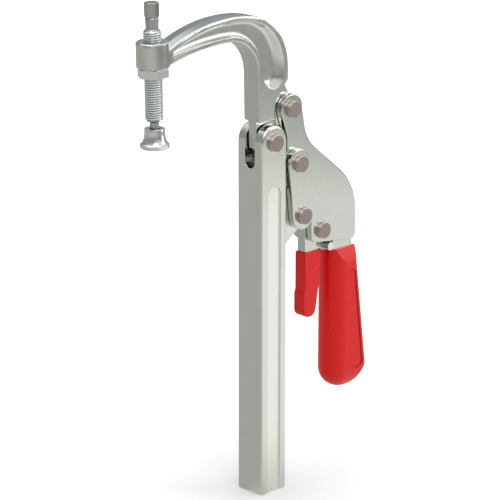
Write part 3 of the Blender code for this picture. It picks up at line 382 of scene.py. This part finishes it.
def threaded(bm, radius, low, high, chamfer):
    """Adds a thread from low to high: helical rows of root, flank and crest points."""
    levels = (radius - THREAD_DEPTH, radius, radius, radius - THREAD_DEPTH)
    shares = (0.12, 0.44, 0.56, 0.88)
    rows = []
    turns = int((high - low) / PITCH) + 3
    for k in range(turns):
        for level, share in zip(levels, shares):
            row = []
            for c in range(THREAD_SEGMENTS):
                z = low - 1.5 * PITCH + PITCH * (k + share + c / THREAD_SEGMENTS)
                z = min(max(z, low), high)
                limit = radius - chamfer + min(z - low, high - z)
                r = min(level, limit)
                turn = 2 * pi * c / THREAD_SEGMENTS
                row.append(bm.verts.new((r * cos(turn), r * sin(turn), z)))
            rows.append(row)
    step = len(levels)
    for k in range(len(rows) - 1):
        for c in range(THREAD_SEGMENTS):
            if c + 1 < THREAD_SEGMENTS:
                corners = (rows[k][c], rows[k][c + 1], rows[k + 1][c + 1], rows[k + 1][c])
            elif k + 1 + step < len(rows):
                corners = (rows[k][c], rows[k + step][0], rows[k + 1 + step][0], rows[k + 1][c])
            else:
                continue
            bm.faces.new(corners)


def prism(bm, flats, low, high, edge):
    """Adds a hexagonal drive whose upper corners are chamfered."""
    radius = flats / 2 / cos(pi / 6)
    rings = []
    for z, inset in ((low, 0), (high - edge, 0), (high, edge)):
        corners = [DRIVE_TURN + pi / 6 + pi / 3 * i for i in range(6)]
        rings.append([bm.verts.new(((radius - inset) * cos(a), (radius - inset) * sin(a), z))
                      for a in corners])
    for a, b in zip(rings, rings[1:]):
        for i in range(6):
            bm.faces.new((a[i], a[(i + 1) % 6], b[(i + 1) % 6], b[i]))
    bm.faces.new(rings[-1])
    bm.faces.new(rings[0][::-1])


def make_spindle():
    low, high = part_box("spindle")
    thread_top, thread_bottom = BOSS_TOP + THREAD_OVER_BOSS, BOSS_BOTTOM - THREAD_UNDER_BOSS
    end, neck_low = thread_bottom - THREAD_CHAMFER, thread_top + THREAD_CHAMFER
    neck_high = neck_low + NECK_RISE
    drive_low = neck_high + GROOVE_RISE
    drive_high = neck_low + DRIVE_RISE
    ball_z = end - BALL_DROP
    bm = bmesh.new()
    threaded(bm, THREAD_R, end, neck_low, THREAD_CHAMFER)
    bmesh.ops.remove_doubles(bm, verts=bm.verts, dist=1e-7)
    bmesh.ops.dissolve_degenerate(bm, edges=bm.edges, dist=1e-7)
    bmesh.ops.holes_fill(bm, edges=[e for e in bm.edges if e.is_boundary], sides=0)
    start = acos(BALL_NECK_R / BALL_R)
    ball = [(BALL_R * cos(a), ball_z + BALL_R * sin(a))
            for a in [-pi / 2 + (start + pi / 2) * i / 12 for i in range(13)]]
    turned(bm, [(0, ball[0][1])] + ball[1:] + [(BALL_NECK_R, end + MM), (0, end + MM)])
    turned(bm, [(0, neck_low - MM), (NECK_LOW_R, neck_low - MM),
                (NECK_HIGH_R, neck_high - 0.5 * MM), (NECK_EDGE_R, neck_high),
                (GROOVE_R, neck_high + 0.2 * MM), (GROOVE_R, drive_low + 0.2 * MM),
                (0, drive_low + 0.2 * MM)])
    prism(bm, DRIVE_FLATS, drive_low, drive_high, DRIVE_EDGE)
    bmesh.ops.recalc_face_normals(bm, faces=bm.faces)
    mesh = bpy.data.meshes.new("spindle_cut")
    bm.to_mesh(mesh)
    bm.free()
    mesh.materials.append(THREAD_ZINC)
    mesh.shade_smooth()
    mesh.set_sharp_from_angle(angle=radians(24))
    made = bpy.data.objects.new("spindle_cut", mesh)
    bpy.context.scene.collection.objects.link(made)
    droop = Matrix.Rotation(ARM_DROOP, 4, "Y")
    made.matrix_world = (Matrix.Translation((0, 0, ARM_PIVOT_Z)) @ droop
                         @ Matrix.Translation((-SPINDLE_REACH, 0, 0)))
    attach(made, "spindle")
    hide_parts("spindle")
    return made


make_spindle()


# The grip with its lower end fully rounded, in place of the plain one

GRIP_FRONT = 79 * MM
GRIP_TOP = 211.5 * MM
GRIP_TOP_DEPTH = 29.6 * MM
GRIP_END_DEPTH = 44.4 * MM
GRIP_LENGTH = 136.5 * MM
GRIP_HALF = 15 * MM
GRIP_REAR_R = 5.5 * MM
GRIP_END_R = 19.5 * MM
FACET_TOP_HALF = 11 * MM
FACET_LENGTH = 13 * MM
PANEL_TOP = (99.5 * MM, 184 * MM)
PANEL_LOW = (109.5 * MM, 99.5 * MM)
PANEL_R = 7 * MM
PANEL_DEPTH = 1 * MM


def arc(x, y, radius, start, end, steps):
    turns = [start + (end - start) * i / steps for i in range(steps + 1)]
    return [(x + radius * cos(a), y + radius * sin(a)) for a in turns]


def grip_level(z, front, rear, half, corner):
    """A level of the grip: round front, flat sides, small rear corners, facets near the top."""
    side = min(half, FACET_TOP_HALF + (GRIP_HALF - FACET_TOP_HALF) * (GRIP_TOP - z) / FACET_LENGTH)
    points = arc(front + half, 0, half, 1.5 * pi, 0.5 * pi, 36)
    points += arc(rear - corner, half - corner, corner, 0.5 * pi, 0, 5)
    points += arc(rear - corner, corner - half, corner, 0, -0.5 * pi, 5)
    return [(x, max(-side, min(side, y)), z) for x, y in points]


def grip_levels():
    straight = GRIP_LENGTH - GRIP_END_R
    levels = []
    downs = [FACET_LENGTH * i / 6 for i in range(7)]
    downs += [FACET_LENGTH + (straight - FACET_LENGTH) * i / 6 for i in range(1, 7)]
    for down in downs:
        depth = GRIP_TOP_DEPTH + (GRIP_END_DEPTH - GRIP_TOP_DEPTH) * down / straight
        levels.append(grip_level(GRIP_TOP - down, GRIP_FRONT, GRIP_FRONT + depth, GRIP_HALF,
                                 GRIP_REAR_R))
    for i in range(1, 10):
        turn = pi / 2 * i / 9
        inset = GRIP_END_R * (1 - cos(turn))
        half = GRIP_HALF * (1 - 0.8 * (1 - cos(turn)))
        corner = GRIP_REAR_R + (half - GRIP_REAR_R) * 0.8 * sin(turn)
        levels.append(grip_level(GRIP_TOP - straight - GRIP_END_R * sin(turn), GRIP_FRONT + inset,
                                 GRIP_FRONT + GRIP_END_DEPTH - inset, half, min(corner, half)))
    return levels


def panel_levels(side):
    """The drafted cutter of the panel: an upright slot, narrower at its floor."""
    lean = acos((PANEL_TOP[1] - PANEL_LOW[1])
                / Vector((PANEL_TOP[0] - PANEL_LOW[0], PANEL_TOP[1] - PANEL_LOW[1])).length)
    levels = []
    for out in (-PANEL_DEPTH, PANEL_DEPTH):
        radius = PANEL_R + out * 0.6
        outline = arc(*PANEL_TOP, radius, lean, pi + lean, 16)
        outline += arc(*PANEL_LOW, radius, pi + lean, 2 * pi + lean, 16)
        levels.append([(x, side * (GRIP_HALF + out), z) for x, z in outline])
    return levels


def lofted(name, levels):
    bm = bmesh.new()
    rows = [[bm.verts.new(point) for point in level] for level in levels]
    for a, b in zip(rows, rows[1:]):
        for i in range(len(a)):
            j = (i + 1) % len(a)
            bm.faces.new((a[i], a[j], b[j], b[i]))
    bm.faces.new(rows[0][::-1])
    bm.faces.new(rows[-1])
    bmesh.ops.remove_doubles(bm, verts=bm.verts, dist=1e-6)
    bmesh.ops.recalc_face_normals(bm, faces=bm.faces)
    mesh = bpy.data.meshes.new(name)
    bm.to_mesh(mesh)
    bm.free()
    made = bpy.data.objects.new(name, mesh)
    bpy.context.scene.collection.objects.link(made)
    return made


def make_grip():
    grip = lofted("grip_moulded", grip_levels())
    cutters = [lofted("panel_cutter", panel_levels(side)) for side in (-1, 1)]
    for cutter in cutters:
        cut = grip.modifiers.new("panel", "BOOLEAN")
        cut.operation = "DIFFERENCE"
        cut.solver = "EXACT"
        cut.object = cutter
    bpy.context.view_layer.update()
    finished = grip.evaluated_get(bpy.context.evaluated_depsgraph_get())
    grip.data = bpy.data.meshes.new_from_object(finished)
    grip.modifiers.clear()
    for cutter in cutters:
        bpy.data.objects.remove(cutter)
    dress(grip, RED, SMOOTH_BELOW["grip"])
    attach(grip, "handle")
    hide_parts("grip")


make_grip()


# Floor, light and camera

SIDE_LIGHT_WAY = (0.70, -0.71, 0)
AMBIENT = 0.62
POOL_REACH = 1.7
POOL_STOPS = ((0.00, (0.62, 0.62, 0.59)), (0.08, (1.00, 1.00, 0.96)), (0.20, (1.16, 1.15, 1.10)),
              (0.48, (1.26, 1.24, 1.18)), (0.64, (0.86, 0.86, 0.83)), (0.80, (0.58, 0.59, 0.57)),
              (0.93, (0.46, 0.47, 0.45)), (1.00, (0.28, 0.28, 0.27)))
# The floor's glow to the camera fades towards the middle: painted shade around the foot, over the cast
# shadow
PLAIN_STOPS = ((0.00, (0.04, 0.04, 0.04)), (0.10, (0.45, 0.45, 0.45)), (0.22, (0.75, 0.75, 0.75)),
               (0.50, (0.85, 0.85, 0.85)))
FLOOR_AWAY = (0.49, 0.49, 0.475)
FLOOR_NEAR = (0.63, 0.62, 0.59)
CAMERA_WAY = (-0.70, -0.71, 0)
FLOOR_R = 9.0
AIM = (0, 0, 0.25)
SKY_AWAY_STOPS = ((0.00, (0.34, 0.35, 0.36)), (0.32, (0.32, 0.34, 0.38)), (0.58, (0.36, 0.40, 0.46)),
                  (0.68, (0.80, 0.82, 0.84)), (0.76, (1.30, 1.30, 1.30)), (1.00, (1.20, 1.20, 1.20)))
SKY_SIDE_STOPS = ((0.00, (0.26, 0.26, 0.25)), (0.14, (0.40, 0.40, 0.39)), (0.34, (1.10, 1.10, 1.08)),
                  (1.00, (1.10, 1.10, 1.10)))


def ramp(tree, value, stops):
    """A smooth colour ramp through (position, colour) stops."""
    made = add(tree, "ShaderNodeValToRGB")
    made.color_ramp.interpolation = "B_SPLINE"
    points = made.color_ramp.elements
    while len(points) < len(stops):
        points.new(0.5)
    for point, (position, colour) in zip(points, stops):
        point.position = position
        point.color = (*colour, 1)
    tree.links.new(value, made.inputs["Fac"])
    return made.outputs["Color"]


def towards(tree, direction, way, low, high):
    """0 to 1 as a direction's level part turns towards a way."""
    level = add(tree, "ShaderNodeVectorMath", {1: (1, 1, 0)}, operation="MULTIPLY")
    unit = add(tree, "ShaderNodeVectorMath", operation="NORMALIZE")
    along = add(tree, "ShaderNodeVectorMath", {1: way}, operation="DOT_PRODUCT")
    tree.links.new(direction, level.inputs[0])
    tree.links.new(level.outputs["Vector"], unit.inputs[0])
    tree.links.new(unit.outputs["Vector"], along.inputs[0])
    turned_to = add(tree, "ShaderNodeMapRange", {"From Min": low, "From Max": high},
                    interpolation_type="SMOOTHSTEP")
    tree.links.new(along.outputs["Value"], turned_to.inputs["Value"])
    return turned_to.outputs["Result"]


def floor_material():
    """White to the camera, but under the shadow and a painted shade that darkens it towards the middle,
    and a pool of light towards the side in the metal.
    """
    made, tree, shader = new_material("studio_floor")
    link = tree.links.new
    shader.inputs["Roughness"].default_value = 0.9
    where = add(tree, "ShaderNodeTexCoord").outputs["Object"]
    far = add(tree, "ShaderNodeVectorMath", operation="LENGTH")
    link(where, far.inputs[0])
    reach = remap(tree, far.outputs["Value"], 0, 1, 0, POOL_REACH)
    pool = ramp(tree, reach, POOL_STOPS)
    near = mix_colours(tree, towards(tree, where, CAMERA_WAY, 0.3, 1.0), FLOOR_AWAY, FLOOR_NEAR)
    to_side = towards(tree, where, SIDE_LIGHT_WAY, 0.1, 0.9)
    seen_in_metal = mix_colours(tree, to_side, near, pool)
    # Painted shade: the glow fades towards the middle
    seen_plain = ramp(tree, reach, PLAIN_STOPS)
    mirrored = which_rays(tree, "Is Glossy Ray", "Is Transmission Ray")
    link(mix_colours(tree, mirrored, (0.80, 0.80, 0.80), (0, 0, 0)), shader.inputs["Base Color"])
    link(mix_colours(tree, mirrored, seen_plain, seen_in_metal), shader.inputs["Emission Color"])
    link(which_rays(tree, "Is Camera Ray", "Is Glossy Ray", "Is Transmission Ray"),
         shader.inputs["Emission Strength"])
    return made


def add_floor():
    bm = bmesh.new()
    bmesh.ops.create_circle(bm, cap_ends=True, segments=96, radius=FLOOR_R)
    mesh = bpy.data.meshes.new("floor")
    bm.to_mesh(mesh)
    bm.free()
    mesh.materials.append(floor_material())
    floor = bpy.data.objects.new("floor", mesh)
    bpy.context.scene.collection.objects.link(floor)


def area_light(name, place, target, size, power, colour=(1, 1, 1)):
    data = bpy.data.lights.new(name, "AREA")
    data.shape = "RECTANGLE"
    data.size, data.size_y = size
    data.energy = power
    data.color = colour
    light = bpy.data.objects.new(name, data)
    bpy.context.scene.collection.objects.link(light)
    light.location = place
    light.rotation_euler = (Vector(target) - Vector(place)).to_track_quat("-Z", "Y").to_euler()
    return light


def studio_world():
    """White to the camera. The metal sees it grey at the horizon and bright overhead."""
    world = bpy.data.worlds.new("studio")
    bpy.context.scene.world = world
    world.use_nodes = True
    tree = world.node_tree
    link = tree.links.new
    background = tree.nodes["Background"]
    where = add(tree, "ShaderNodeTexCoord").outputs["Generated"]
    split = add(tree, "ShaderNodeSeparateXYZ")
    link(where, split.inputs["Vector"])
    away = ramp(tree, split.outputs["Z"], SKY_AWAY_STOPS)
    side = ramp(tree, split.outputs["Z"], SKY_SIDE_STOPS)
    to_side = towards(tree, where, SIDE_LIGHT_WAY, -0.3, 0.9)
    seen_in_metal = mix_colours(tree, to_side, away, side)
    mirrored = which_rays(tree, "Is Glossy Ray", "Is Transmission Ray")
    lit = mix_colours(tree, mirrored, (AMBIENT, AMBIENT, AMBIENT), seen_in_metal)
    link(mix_colours(tree, which_rays(tree, "Is Camera Ray"), lit, (1, 1, 1)),
         background.inputs["Color"])


def add_camera():
    back = Vector((-0.6677, -0.6842, 0.2934)).normalized()
    right = Vector((0.7157, -0.6984, 0.0)).normalized()
    up = back.cross(right)
    data = bpy.data.cameras.new("camera")
    data.lens = 180
    data.sensor_width = 36
    data.clip_end = 50
    camera = bpy.data.objects.new("camera", data)
    turn = Matrix((right, up, back)).transposed().to_4x4()
    camera.matrix_world = Matrix.Translation((-1.4923, -1.5138, 0.8793)) @ turn
    bpy.context.scene.collection.objects.link(camera)
    bpy.context.scene.camera = camera


add_floor()
studio_world()
area_light("key", (-0.9, -1.3, 1.9), AIM, (1.2, 1.2), 10)
area_light("side", (1.6, -1.5, 0.9), AIM, (1.0, 1.8), 12)
area_light("top", (0.1, 0.2, 1.8), (0, 0, 0.2), (1.2, 1.2), 8)
add_camera()

bpy.context.scene.view_settings.view_transform = "Standard"

bpy.context.view_layer.update()
